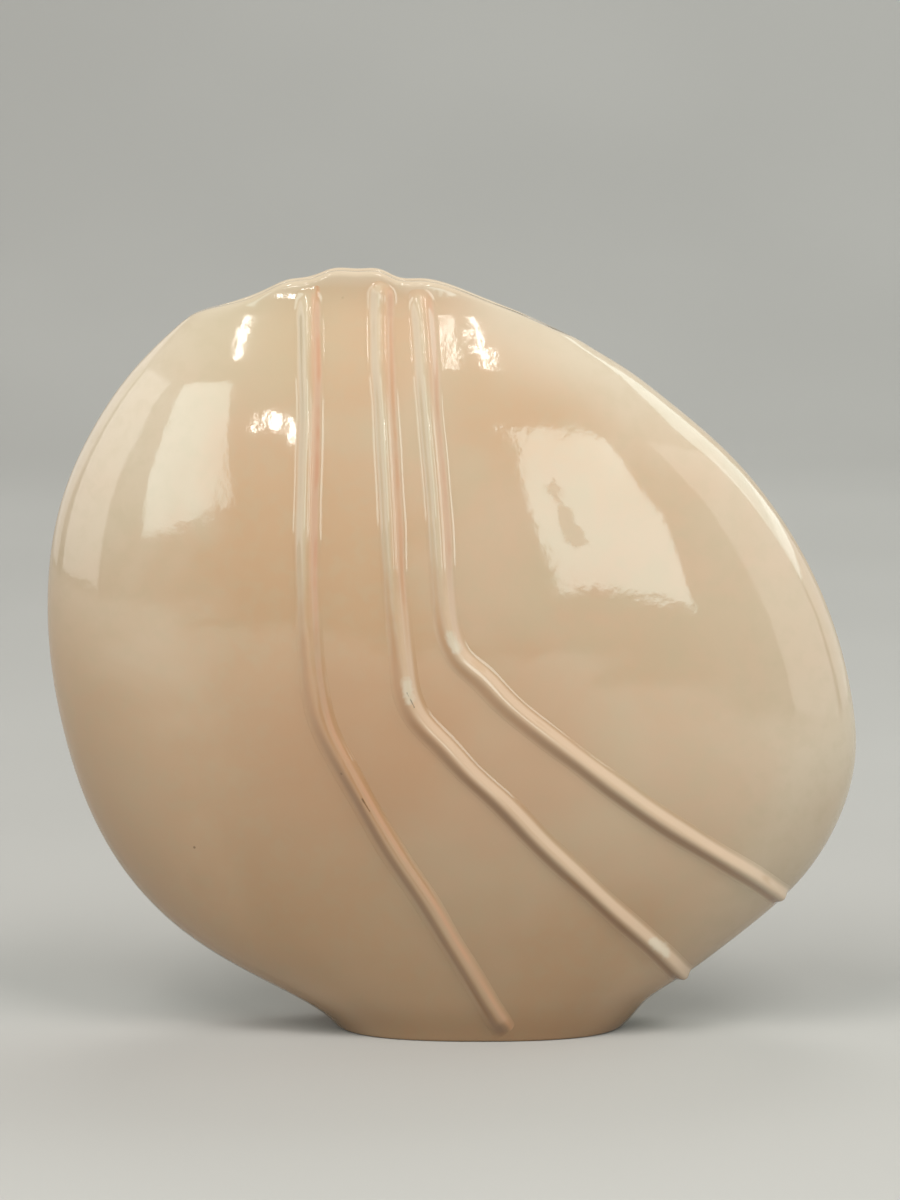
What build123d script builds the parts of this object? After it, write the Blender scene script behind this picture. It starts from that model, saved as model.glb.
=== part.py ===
from build123d import *
import math
import os

import numpy as np

# Driving dimensions in millimetres.
# The origin is the middle of the foot, +Z is up and the ridges face -Y.
height = 280.0
left_reach = 158.3
right_reach = 138.3
foot_half_width = 53.0
foot_half_depth = 29.5
belly_half_depth = 41.7
throat_half_depth = 8.3

# Walls, floor and lip
wall = 4.5
lip_radius = 2.0
floor_thickness = 6.0
foot_recess = 1.5

# Clay coils laid on the front
ridge_width_top = 9.4
ridge_width_low = 8.6
ridge_height = 2.8
ridge_root = 1.3
ridge_station_step = 6.0
ridge_lip_gap = 2.2
ridge_foot_gap = 3.6

# How far every cut runs past what it cuts
overrun = 15.0

# Outline of the body seen from the front. Each row is a height, as a share of the whole height,
# and how far the edge has swung from the foot's end towards its widest reach. The rows above the
# lip belong to the clay that is trimmed away there.
left_edge_shares = (
    (0, 0), (.014, .038), (.036, .126), (.071, .301), (.107, .464), (.179, .682), (.268, .836),
    (.375, .937), (.482, .990), (.536, 1), (.589, .998), (.696, .950), (.804, .820), (.875, .683),
    (.914, .580), (.950, .470), (.989, .331), (1.029, .139),
)
right_edge_shares = (
    (0, 0), (.014, .046), (.036, .110), (.071, .278), (.107, .437), (.179, .714), (.268, .916),
    (.375, 1), (.429, .985), (.482, .950), (.589, .828), (.696, .622), (.768, .417), (.839, .143),
    (.875, -.018), (.911, -.209), (.946, -.360), (.989, -.585), (1.029, -.821),
)

# Half the depth from front to back, halfway across. The lower rows swell from the foot to the
# belly, and the upper rows shrink from the belly to the throat.
lower_depth_shares = ((0, 0), (.021, 0), (.071, .205), (.179, .664), (.304, .960), (.375, 1))
upper_depth_shares = (
    (.429, .994), (.536, .962), (.643, .880), (.750, .735), (.829, .570), (.857, .490),
    (.886, .380), (.921, .210), (.950, .075), (.971, .020), (.993, .003), (1.029, 0),
)

# The trimmed lip: how far along, from the left reach to the right one, and how high.
rim_shares = (
    (.112, .918), (.146, .920), (.180, .941), (.213, .953), (.247, .963), (.271, .9735),
    (.298, .986), (.325, .990), (.352, 1), (.385, 1), (.412, .999), (.433, .989), (.460, .9875),
    (.493, .981), (.534, .964), (.584, .943), (.635, .9185), (.702, .891),
)

# How full the body is across: 1 would make every level cut an ellipse, 0 nearly a box.
fullness_share = 0.6

# The lip's rounding takes at most this much of the wall.
lip_wall_share = 0.45

# Heights of the level cuts that the walls are drawn through
level_shares = (
    0, .013, .030, .050, .075, .107, .150, .205, .270, .340, .410, .480, .550, .620, .690, .755,
    .810, .855, .890, .920, .950, .985, 1.029,
)
points_across = 12

# Routes of the coils, along and up as in the lip's rows. A coil's top is set by the lip, the left
# coil's end by the foot, and the other two run out on the edge of the body.
left_route_shares = (
    (.326, .913), (.3275, .839), (.326, .757), (.324, .671), (.3247, .589), (.3275, .529),
    (.333, .471), (.3435, .425), (.360, .388), (.382, .345), (.403, .304), (.433, .250),
    (.466, .196), (.495, .142), (.5255, .086), (.5535, .033),
)
middle_upper_shares = (
    (.414, .913), (.418, .839), (.4225, .757), (.427, .671), (.4305, .600), (.436, .543),
    (.440, .502), (.4457, .4645),
)
middle_lower_shares = (
    (.4457, .4645), (.4596, .435), (.4845, .4065), (.520, .366), (.5573, .329), (.606, .274),
    (.655, .223), (.7045, .171), (.753, .120),
)
right_upper_shares = (
    (.4656, .921), (.471, .840), (.4777, .764), (.4835, .690), (.4868, .632), (.490, .582),
    (.498, .538),
)
right_lower_shares = (
    (.498, .538), (.511, .5125), (.533, .4915), (.557, .465), (.606, .420), (.6545, .380),
    (.7033, .340), (.7525, .3015), (.802, .266), (.852, .230), (.8775, .210),
)
left_top_share = .324
left_foot_share = .5665
middle_top_share = .414
middle_end_share = .070
right_top_share = .460
right_end_share = .174

# A coil's cut end at a joint is pressed a little narrower and lower than the run beside it.
joint_pinch_share = 0.85

# Cross-section of a coil: out from the middle in half widths, up in heights.
coil_profile_shares = ((-.98, .25), (-.80, .62), (-.44, .90), (0, 1), (.44, .90), (.80, .62), (.98, .25))

# A coil's free end is a blunt round nose. Its cross-sections stand close at the ends, and the
# steps between them grow along the run. The first steps are shares of the coil's width.
end_blunt_share = 0.07
free_step_share = 0.08
joint_step_share = 0.42
step_growth = 1.25

# Fine steps that a route is measured in
route_samples = 4001


def smooth_curve(points):
    """A natural cubic spline through (place, value) points: a function of place that also gives
    its slope."""
    place, value = np.array(points, dtype=float).T
    count = len(place)
    gap = np.diff(place)
    matrix = np.eye(count)
    target = np.zeros(count)
    for i in range(1, count - 1):
        matrix[i, i - 1:i + 2] = gap[i - 1], 2 * (gap[i - 1] + gap[i]), gap[i]
        target[i] = 6 * ((value[i + 1] - value[i]) / gap[i] - (value[i] - value[i - 1]) / gap[i - 1])
    bend = np.linalg.solve(matrix, target)

    def curve(at, slope=False):
        i = np.clip(np.searchsorted(place, at) - 1, 0, count - 2)
        after = place[i + 1] - at
        before = at - place[i]
        start = value[i] / gap[i] - bend[i] * gap[i] / 6
        end = value[i + 1] / gap[i] - bend[i + 1] * gap[i] / 6
        if slope:
            return (bend[i + 1] * before**2 - bend[i] * after**2) / (2 * gap[i]) - start + end
        cubic = (bend[i] * after**3 + bend[i + 1] * before**3) / (6 * gap[i])
        return cubic + start * after + end * before

    return curve


def along(share):
    """A place from the left reach to the right one."""
    return -left_reach + share * (left_reach + right_reach)


def swing(reach, share):
    """How far out an edge is, between the foot's end and its widest reach."""
    return foot_half_width + share * (reach - foot_half_width)


def depth_rows():
    """Heights and half depths, from the foot over the belly to the throat."""
    rows = []
    for up, share in lower_depth_shares:
        rows.append((up * height, foot_half_depth + share * (belly_half_depth - foot_half_depth)))
    for up, share in upper_depth_shares:
        rows.append((up * height, throat_half_depth + share * (belly_half_depth - throat_half_depth)))
    return rows


left_edge = smooth_curve([(up * height, -swing(left_reach, share)) for up, share in left_edge_shares])
right_edge = smooth_curve([(up * height, swing(right_reach, share)) for up, share in right_edge_shares])
half_depth = smooth_curve(depth_rows())
rim_points = [(along(share), up * height) for share, up in rim_shares]
rim_height = smooth_curve(rim_points)


def profile_across(u):
    """Half depth across a level cut, as a share of its greatest, for u from -1 to 1."""
    left_over = 1 - fullness_share * u**2 - (1 - fullness_share) * u**4
    return np.sqrt(np.maximum(left_over, 0))


def level_cut(z, inset):
    """Left end, right end and half depth of the body at one height, moved in by the wall."""
    left = left_edge(z) + inset * math.hypot(1, left_edge(z, slope=True))
    right = right_edge(z) - inset * math.hypot(1, right_edge(z, slope=True))
    deep = half_depth(z) - inset * math.hypot(1, half_depth(z, slope=True))
    return left, right, deep


def half_lens(z, inset):
    """The front of a level cut, from its left end to its right end, square to the seam at both."""
    left, right, deep = level_cut(z, inset)
    points = []
    parameters = []
    for k in range(points_across + 1):
        u = -math.cos(math.pi * k / points_across)
        x = (left + right) / 2 + u * (right - left) / 2
        points.append(Vector(x, -deep * float(profile_across(u)), z))
        parameters.append(k / points_across)
    pull = deep * math.pi * math.sqrt(2 - fullness_share)
    ends = [Vector(0, -pull, 0), Vector(0, pull, 0)]
    return Edge.make_spline(points, tangents=ends, parameters=parameters, scale=False)


def half_body(inset, past_seam):
    """The front half of the untrimmed body, moved in by inset and run on past the seam plane."""
    wires = []
    for share in level_shares:
        z = share * height
        front = half_lens(z, inset)
        left = front @ 0
        right = front @ 1
        corners = [right, Vector(right.X, past_seam, z), Vector(left.X, past_seam, z), left]
        if past_seam == 0:
            corners = [right, left]
        sides = [Edge.make_line(a, b) for a, b in zip(corners, corners[1:])]
        wires.append(Wire([front] + sides))
    return Solid.make_loft(wires)


def block(x, y, z):
    """A box between two values on each axis."""
    middle = ((x[0] + x[1]) / 2, (y[0] + y[1]) / 2, (z[0] + z[1]) / 2)
    return Pos(*middle) * Box(x[1] - x[0], y[1] - y[0], z[1] - z[0])


def lip_trim():
    """All the clay above the waving lip."""
    deep = belly_half_depth + overrun
    top = height + overrun * 2
    first = rim_points[0]
    last = rim_points[-1]
    wave = Edge.make_spline([Vector(x, -deep, z) for x, z in rim_points])
    corners = [
        Vector(last[0], -deep, last[1]),
        Vector(right_reach + overrun, -deep, last[1]),
        Vector(right_reach + overrun, -deep, top),
        Vector(-left_reach - overrun, -deep, top),
        Vector(-left_reach - overrun, -deep, first[1]),
        Vector(first[0], -deep, first[1]),
    ]
    sides = [Edge.make_line(a, b) for a, b in zip(corners, corners[1:])]
    return extrude(Face(Wire([wave] + sides)), amount=2 * deep, dir=(0, 1, 0))


def make_front_shell(body, hollow):
    """The half wall: trimmed to the lip, rubbed round along the lip's outer edge, then hollowed."""
    trimmed = body - lip_trim()
    lip_face = trimmed.faces().filter_by(GeomType.EXTRUSION)[0]
    outer_edge = lip_face.edges().sort_by(Axis.Y)[0]
    return trimmed.fillet(min(lip_radius, lip_wall_share * wall), [outer_edge]) - hollow


def make_base_floor(hollow):
    """The slab inside the foot, the shape of the hollow there, and lifted off the table."""
    reach = max(left_reach, right_reach)
    level = (foot_recess, foot_recess + floor_thickness)
    front_part = hollow & block((-reach, reach), (-belly_half_depth, 0), level)
    return front_part + mirror(front_part, about=Plane.XZ)


def outward(x, y, z):
    """The direction straight out of the body's front skin: the slope of the body's own formula."""
    left = left_edge(z)
    right = right_edge(z)
    half = (right - left) / 2
    u = (x - (left + right) / 2) / half
    full = 1 - fullness_share * u**2 - (1 - fullness_share) * u**4
    fall = -2 * fullness_share * u - 4 * (1 - fullness_share) * u**3
    left_slope = left_edge(z, slope=True)
    right_slope = right_edge(z, slope=True)
    drift = -((left_slope + right_slope) / 2 + u * (right_slope - left_slope) / 2) / half
    deep = half_depth(z)
    slope = 2 * deep * half_depth(z, slope=True) * full + deep**2 * fall * drift
    return Vector(float(-deep**2 * fall / half), float(2 * y), float(-slope)).normalized()


def lay_route(waypoints):
    """A smooth line through the waypoints, laid on the front skin. Returns a function that gives
    the point at a distance from its start, and the line's length."""
    x, z = np.array(waypoints, dtype=float).T
    steps = np.hypot(np.diff(x), np.diff(z))
    travelled = np.concatenate(([0], np.cumsum(steps)))
    place = np.linspace(0, travelled[-1], route_samples)
    line_x = smooth_curve(list(zip(travelled, x)))(place)
    line_z = smooth_curve(list(zip(travelled, z)))(place)
    left = left_edge(line_z)
    right = right_edge(line_z)
    u = np.clip((2 * line_x - left - right) / (right - left), -1, 1)
    line = np.stack((line_x, -half_depth(line_z) * profile_across(u), line_z))
    lengths = np.linalg.norm(np.diff(line), axis=0)
    distance = np.concatenate(([0], np.cumsum(lengths)))

    def point(at):
        return Vector(*(float(np.interp(at, distance, row)) for row in line))

    return point, float(distance[-1])


def direction(point, at, length):
    """The way a route heads at a distance from its start."""
    reach = ridge_root
    return (point(min(at + reach, length)) - point(max(at - reach, 0))).normalized()


def coil_section(spot, heading, width, scale):
    """One cross-section of a coil: a low arch standing on a root below the skin."""
    out = outward(spot.X, spot.Y, spot.Z)
    aside = heading.cross(out).normalized()
    up = aside.cross(heading).normalized()
    half = scale * width / 2
    root = -up * ridge_root
    arch = [spot + aside * (across * half) + up * (rise * scale * ridge_height)
            for across, rise in coil_profile_shares]
    points = [spot - aside * half + root] + arch + [spot + aside * half + root]
    parameters = [k / (len(points) - 1) for k in range(len(points))]
    arc = Edge.make_spline(points, parameters=parameters)
    return Wire([arc, Edge.make_line(points[-1], points[0])])


def growing_steps(first):
    """Steps that grow steadily from the first one, up to the plain step along a run."""
    steps = []
    step = first
    while step < ridge_station_step:
        steps.append(step)
        step *= step_growth
    return steps


def end_scale(distance, joint):
    """How full a coil is near an end: pinched at a joint, rounded off at a free end."""
    radius = ridge_width_low / 2
    if joint is not None:
        return joint_pinch_share + (1 - joint_pinch_share) * min(1, distance / radius)
    inward = end_blunt_share + distance / radius
    return math.sqrt(1 - (1 - min(1, inward))**2)


def make_coil(route, joint_start=None, joint_end=None):
    """A coil along a route. An end with a joint heading is cut square to it, and any other end is
    rounded off."""
    point, length = route
    first_steps = [ridge_width_low * (free_step_share if joint is None else joint_step_share)
                   for joint in (joint_start, joint_end)]
    begin = growing_steps(first_steps[0])
    finish = growing_steps(first_steps[1])[::-1]
    run = length - sum(begin) - sum(finish)
    count = max(1, round(run / ridge_station_step))
    stations = np.cumsum([0] + begin + [run / count] * count + finish)
    wires = []
    for at in stations:
        spot = point(at)
        heading = direction(point, at, length)
        width = ridge_width_low + (ridge_width_top - ridge_width_low) * spot.Z / height
        scale = min(end_scale(at, joint_start), end_scale(length - at, joint_end))
        joint = joint_start if at == stations[0] else joint_end if at == stations[-1] else None
        if joint is not None:
            width /= heading.dot(joint)
            heading = joint
        wires.append(coil_section(spot, heading, width, scale))
    return Solid.make_loft(wires)


def waypoints(shares):
    return [(along(share), up * height) for share, up in shares]


def top_end(share):
    """Where a coil starts, just under the lip."""
    x = along(share)
    return x, float(rim_height(x)) - ridge_lip_gap


def edge_end(share):
    """Where a coil runs out, on the right edge of the body."""
    z = share * height
    return float(right_edge(z)), z


def joint_heading(upper, lower):
    """The heading halfway between the end of one coil and the start of the next."""
    before = direction(upper[0], upper[1], upper[1])
    after = direction(lower[0], 0, lower[1])
    return (before + after).normalized()


def make_coils(body):
    """The five coils, each cut to sit on the skin of the body and to end at the seam."""
    left_foot = (along(left_foot_share), ridge_foot_gap)
    left = lay_route([top_end(left_top_share)] + waypoints(left_route_shares) + [left_foot])
    middle_upper = lay_route([top_end(middle_top_share)] + waypoints(middle_upper_shares))
    middle_lower = lay_route(waypoints(middle_lower_shares) + [edge_end(middle_end_share)])
    right_upper = lay_route([top_end(right_top_share)] + waypoints(right_upper_shares))
    right_lower = lay_route(waypoints(right_lower_shares) + [edge_end(right_end_share)])
    middle_joint = joint_heading(middle_upper, middle_lower)
    right_joint = joint_heading(right_upper, right_lower)
    coils = {
        "left_ridge": make_coil(left),
        "middle_ridge_upper": make_coil(middle_upper, joint_end=middle_joint),
        "middle_ridge_lower": make_coil(middle_lower, joint_start=middle_joint),
        "right_ridge_upper": make_coil(right_upper, joint_end=right_joint),
        "right_ridge_lower": make_coil(right_lower, joint_start=right_joint),
    }
    reach = max(left_reach, right_reach) + overrun
    behind = block((-reach, reach), (0, overrun), (-overrun, height + overrun))
    return {name: coil - body - behind for name, coil in coils.items()}


def build_pieces():
    body = half_body(0, 0)
    hollow = half_body(wall, overrun)
    front_shell = make_front_shell(body, hollow)
    pieces = {
        "front_shell": front_shell,
        "back_shell": mirror(front_shell, about=Plane.XZ),
        "base_floor": make_base_floor(hollow),
    }
    pieces.update(make_coils(body))
    return pieces


os.makedirs("parts", exist_ok=True)
for name, piece in build_pieces().items():
    print(name, round(piece.volume), "mm3 in", len(piece.solids()), "solid")
    export_step(piece, "parts/" + name + ".step")
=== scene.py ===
# %% [markdown]
# # A pillow vase with three clay coils
#
# The real thing is a flat, swelling vase about 28 cm tall. A potter made it from two dished slabs
# of clay joined along their edge, rolled three coils onto the front, and covered it all with a
# glossy peach and cream pearl glaze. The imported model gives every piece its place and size. This
# lesson gives each piece a smooth skin, then the glaze, and then the light that shows both.

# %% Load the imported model
import math

import bpy
import numpy as np
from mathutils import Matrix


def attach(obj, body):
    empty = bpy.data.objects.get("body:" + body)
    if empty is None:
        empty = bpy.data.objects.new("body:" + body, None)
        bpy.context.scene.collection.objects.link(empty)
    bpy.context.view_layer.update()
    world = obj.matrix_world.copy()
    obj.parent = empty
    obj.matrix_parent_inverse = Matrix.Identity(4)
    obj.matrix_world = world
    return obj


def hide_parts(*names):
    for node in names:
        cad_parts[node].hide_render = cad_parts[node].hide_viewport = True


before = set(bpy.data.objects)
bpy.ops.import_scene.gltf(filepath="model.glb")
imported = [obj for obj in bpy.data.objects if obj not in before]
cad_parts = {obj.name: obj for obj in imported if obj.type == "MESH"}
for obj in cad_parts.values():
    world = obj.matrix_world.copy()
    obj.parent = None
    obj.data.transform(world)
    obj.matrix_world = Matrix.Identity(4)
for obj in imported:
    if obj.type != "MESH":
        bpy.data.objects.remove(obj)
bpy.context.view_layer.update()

# %% [markdown]
# ## The camera
#
# The camera comes first, because every later choice is judged through it. It is a long lens almost
# two metres away that looks 9 degrees down, so the outline is nearly a straight-on drawing.

# %% Camera
lens_length = 155.7
camera_place = (-0.011, -1.8766, 0.4561)
looks_down = 9


def add_object(name, data):
    """A new object in the scene, made of its data."""
    made = bpy.data.objects.new(name, data)
    bpy.context.scene.collection.objects.link(made)
    return made


camera = add_object("front_view", bpy.data.cameras.new("front_view"))
camera.data.lens = lens_length
camera.location = camera_place
camera.rotation_euler = (math.radians(90 - looks_down), 0, 0)
bpy.context.scene.camera = camera
print("camera at", camera_place)

# %% [markdown]
# ## The form in numbers
#
# The vase has no straight line, so its form is kept as a few short tables: where the left and
# right edges are at each height, how deep it is, and how the lip waves. The values are the ones
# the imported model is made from. A natural cubic spline gives any point between, because it passes
# through every point without kinks.

# %% Sizes in metres, and the tables
height = 0.280
left_reach = 0.1583
right_reach = 0.1383
foot_half_width = 0.053
foot_half_depth = 0.0295
belly_half_depth = 0.0417
throat_half_depth = 0.0083
wall = 0.0045
fullness_share = 0.6

# Height, and how far the edge has swung out from the foot's end to its widest reach
left_edge_shares = (
    (0, 0), (.014, .038), (.036, .126), (.071, .301), (.107, .464), (.179, .682), (.268, .836),
    (.375, .937), (.482, .990), (.536, 1), (.589, .998), (.696, .950), (.804, .820), (.875, .683),
    (.914, .580), (.950, .470), (.989, .331), (1.029, .139),
)
right_edge_shares = (
    (0, 0), (.014, .046), (.036, .110), (.071, .278), (.107, .437), (.179, .714), (.268, .916),
    (.375, 1), (.429, .985), (.482, .950), (.589, .828), (.696, .622), (.768, .417), (.839, .143),
    (.875, -.018), (.911, -.209), (.946, -.360), (.989, -.585), (1.029, -.821),
)

# Height, and half the depth: from the foot to the belly, then from the belly to the throat
lower_depth_shares = ((0, 0), (.021, 0), (.071, .205), (.179, .664), (.304, .960), (.375, 1))
upper_depth_shares = (
    (.429, .994), (.536, .962), (.643, .880), (.750, .735), (.829, .570), (.857, .490),
    (.886, .380), (.921, .210), (.950, .075), (.971, .020), (.993, .003), (1.029, 0),
)

# The lip: how far along from the left reach to the right one, and how high
rim_shares = (
    (.112, .918), (.146, .920), (.180, .941), (.213, .953), (.247, .963), (.271, .9735),
    (.298, .986), (.325, .990), (.352, 1), (.385, 1), (.412, .999), (.433, .989), (.460, .9875),
    (.493, .981), (.534, .964), (.584, .943), (.635, .9185), (.702, .891),
)


# %% Curves through the tables
def smooth_curve(points):
    """A natural cubic spline through (place, value) points: a function of place that also gives
    its slope. Past its ends it stays in line with its first and last piece."""
    place, value = np.array(points, dtype=float).T
    gap = np.diff(place)
    inner = np.arange(1, len(place) - 1)
    matrix = np.eye(len(place))
    matrix[inner, inner - 1] = gap[:-1]
    matrix[inner, inner] = 2 * (gap[:-1] + gap[1:])
    matrix[inner, inner + 1] = gap[1:]
    target = np.zeros(len(place))
    target[inner] = 6 * np.diff(np.diff(value) / gap)
    bend = np.linalg.solve(matrix, target)

    def curve(at, slope=False):
        i = np.clip(np.searchsorted(place, at) - 1, 0, len(gap) - 1)
        after = place[i + 1] - at
        before = at - place[i]
        start = value[i] / gap[i] - bend[i] * gap[i] / 6
        end = value[i + 1] / gap[i] - bend[i + 1] * gap[i] / 6
        if slope:
            return (bend[i + 1] * before**2 - bend[i] * after**2) / (2 * gap[i]) - start + end
        cubic = (bend[i] * after**3 + bend[i + 1] * before**3) / (6 * gap[i])
        return cubic + start * after + end * before

    return curve


def along(share):
    """A place from the left reach to the right one."""
    return -left_reach + share * (left_reach + right_reach)


def rows_between(shares, start, end):
    """Table rows of height and a value that goes from start to end."""
    return [(up * height, start + share * (end - start)) for up, share in shares]


left_edge = smooth_curve(rows_between(left_edge_shares, -foot_half_width, -left_reach))
right_edge = smooth_curve(rows_between(right_edge_shares, foot_half_width, right_reach))
half_depth = smooth_curve(rows_between(lower_depth_shares, foot_half_depth, belly_half_depth)
                          + rows_between(upper_depth_shares, throat_half_depth, belly_half_depth))
rim_height = smooth_curve([(along(share), up * height) for share, up in rim_shares])
print("the lip's top is at", height * max(up for _, up in rim_shares))

# %% [markdown]
# ## The skin as a formula
#
# A level cut through the vase is a soft lens, fuller than an ellipse. A point on the skin then
# needs only two numbers: u, from -1 at the left edge to 1 at the right edge, and its height. The
# potter's hands leave slow dents, here less than a fifth of a millimetre deep. A reflection in a
# glossy glaze shows every one of them, so a few long waves are added to the depth.

# %% Points on the skin
wave_lengths = (0.071, 0.047, 0.033, 0.024)
wave_turns = (0.4, 1.9, 2.7, 0.9)
wave_depth = 0.00004


def hand_dents(x, z, side):
    """Slow dents: a sum of four long waves that cross the skin in different directions."""
    total = 0
    for length, turn in zip(wave_lengths, wave_turns):
        across = x * math.cos(turn) + z * math.sin(turn)
        beside = z * math.cos(turn) - x * math.sin(turn)
        wave = np.sin(math.tau * across / length + side) * np.cos(math.tau * beside / length)
        total = total + wave
    return wave_depth * total


def level_cut(z, inset):
    """Left end, right end and half depth at a height, moved in by a thickness square to the
    skin: the thickness times the length of (1, slope)."""
    left = left_edge(z) + inset * np.hypot(1, left_edge(z, slope=True))
    right = right_edge(z) - inset * np.hypot(1, right_edge(z, slope=True))
    deep = half_depth(z) - inset * np.hypot(1, half_depth(z, slope=True))
    return left, right, deep


def skin_point(u, z, side, inset=0.0):
    """A point of one half's skin: x goes from the left end to the right end with u, and y is the
    half depth times the root of what the flattened lens leaves at u."""
    left, right, deep = level_cut(z, inset)
    x = (left + right) / 2 + u * (right - left) / 2
    lens = np.sqrt(np.clip(1 - fullness_share * u**2 - (1 - fullness_share) * u**4, 0, 1))
    y = side * lens * (deep + hand_dents(x, z, side))
    return np.stack(np.broadcast_arrays(x, y, z), axis=-1)


def share_across(x, z):
    """Where x lies between the left edge, -1, and the right edge, 1."""
    left, right, _ = level_cut(z, 0)
    return np.clip((2 * x - left - right) / (right - left), -1, 1)


belly_height = 0.115
print("front of the belly at y", round(float(skin_point(0.0, belly_height, -1)[1]), 4))

# %% [markdown]
# ## From a grid to a mesh
#
# Every piece here is a grid of points: each column is a closed loop, and the columns follow each
# other along the piece. Four neighbours make one face, and the two open ends are capped by joining
# each row to its partner across the loop. A glossy surface shows even a one degree error in its
# normals, so these are worked out from the grid itself and handed to the mesh. The signed volume
# tells whether the faces point outwards.

# %% Mesh maker
def unit(vectors):
    """Vectors divided by their own length."""
    return vectors / np.maximum(np.linalg.norm(vectors, axis=-1, keepdims=True), 1e-12)


def grid_faces(index):
    """Four-cornered faces between neighbouring rows and columns of an index grid."""
    corners = (index[:-1, :-1], index[1:, :-1], index[1:, 1:], index[:-1, 1:])
    return np.stack([corner.ravel() for corner in corners], axis=1)


def strip_faces(rows, count):
    """Faces round the loop between neighbouring columns, and a cap over the first and the last
    column, where row i is joined to row (rows - 1 - i)."""
    index = np.arange(rows * count).reshape(rows, count)
    skin = grid_faces(np.concatenate((index, index[:1])))
    pairs = np.stack((index[:rows // 2], index[:rows // 2 - 1:-1]), axis=1)
    return np.concatenate((skin, grid_faces(pairs[..., 0])[:, ::-1], grid_faces(pairs[..., -1])))


def signed_volume(points, quads):
    """The volume inside the faces: a sum of thin pyramids from the origin, negative when the
    faces point inwards."""
    a, b, c, d = (points[quads[:, k]] for k in range(4))
    return float((np.cross(b - a, c - a) * a + np.cross(c - a, d - a) * a).sum() / 6)


def grid_normals(grid, mirrored_ends=False):
    """Along the loop crossed with along the piece, from the neighbours on both sides. Where a
    half meets its mirror image, the column before the first is the second one mirrored."""
    loop = np.roll(grid, -1, axis=0) - np.roll(grid, 1, axis=0)
    if mirrored_ends:
        mirror = grid * (1, -1, 1)
        wide = np.concatenate((mirror[:, 1:2], grid, mirror[:, -2:-1]), axis=1)
        return unit(np.cross(loop, wide[:, 2:] - wide[:, :-2]))
    return unit(np.cross(loop, np.gradient(grid, axis=1)))


def make_piece(name, node, grid, normals, marks):
    """A closed mesh from a loop grid, with one number per point in each mark, standing for a
    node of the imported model."""
    quads = strip_faces(*grid.shape[:2])
    normals = normals.reshape(-1, 3)
    points = grid.reshape(-1, 3)
    volume = signed_volume(points, quads)
    if volume < 0:
        quads = quads[:, ::-1]
        normals = -normals
    mesh = bpy.data.meshes.new(name)
    mesh.vertices.add(len(points))
    mesh.vertices.foreach_set("co", points.astype(np.float32).ravel())
    mesh.loops.add(quads.size)
    mesh.loops.foreach_set("vertex_index", quads.astype(np.int32).ravel())
    mesh.polygons.add(len(quads))
    mesh.polygons.foreach_set("loop_start", np.arange(0, quads.size, 4, dtype=np.int32))
    mesh.polygons.foreach_set("use_smooth", np.ones(len(quads), dtype=bool))
    mesh.update(calc_edges=True)
    mesh.normals_split_custom_set_from_vertices(normals.tolist())
    for mark, values in marks.items():
        attribute = mesh.attributes.new(mark, "FLOAT", "POINT")
        values = np.broadcast_to(values, grid.shape[:2])
        attribute.data.foreach_set("value", values.astype(np.float32).ravel())
    piece = add_object(name, mesh)
    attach(piece, "root")
    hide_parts(node)
    print(name, len(quads) * 2, "triangles,", round(abs(volume) * 1e6, 1), "cm3")
    return piece


# %% [markdown]
# ## The two halves
#
# On the real vase each half is a slab about 4.5 mm thick, pressed into a dish. Here a half is one
# closed loop carried from the left edge to the right edge: up the outside, over the rounded lip,
# down the inside and across the foot ring. Columns crowd together at both edges, where the skin
# turns fastest. The height at which each column meets the waving lip has no formula, so it is
# found by halving an interval, for all columns at once.

# %% Where the columns end
columns = 201
skin_rows = 180
arc_rows = 6
lip_radius_outside = 0.0020
lip_radius_inside = 0.0015
foot_radius = 0.0009
lip_search = (0.20, 0.29)
halvings = 40
lip_start, lip_end = along(rim_shares[0][0]), along(rim_shares[-1][0])
u_columns = -np.cos(np.linspace(0, math.pi, columns))


def lip_over(x):
    """The lip's height over a place, level past both ends of its table."""
    return rim_height(np.clip(x, lip_start, lip_end))


def lip_height(side, inset):
    """The height where each column meets the lip, by halving the span of the search."""
    low, high = (np.full(columns, limit) for limit in lip_search)
    for _ in range(halvings):
        z = (low + high) / 2
        under = z < lip_over(skin_point(u_columns, z, side, inset)[..., 0])
        low = np.where(under, z, low)
        high = np.where(under, high, z)
    return (low + high) / 2


def level_inward(row, side):
    """Level, square to a row of points that goes from the left edge to the right one, and
    pointing into the lens. At both edges that is straight along x."""
    step = np.gradient(row[:, :2], axis=0)
    step[0] = (0, side)
    step[-1] = (0, -side)
    return np.pad(side * unit(step[:, ::-1] * (1, -1)), ((0, 0), (0, 1)))


# %% [markdown]
# Each rounded edge is a quarter circle: the point moves in by r(1 - cos a) while its height still
# lacks r(1 - sin a). Near the two corners of the mouth the lens is so thin that a full quarter
# circle wouldn't fit, so the radius shrinks there.

# %% One side of the wall
corner_share = 0.12
least_radius_share = 0.5
even_share = 0.6


def ease(value, start, end):
    """0 at start and 1 at end, as a smooth step: 3 t^2 - 2 t^3."""
    t = np.clip((value - start) / (end - start), 0, 1)
    return t * t * (3 - 2 * t)


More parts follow.
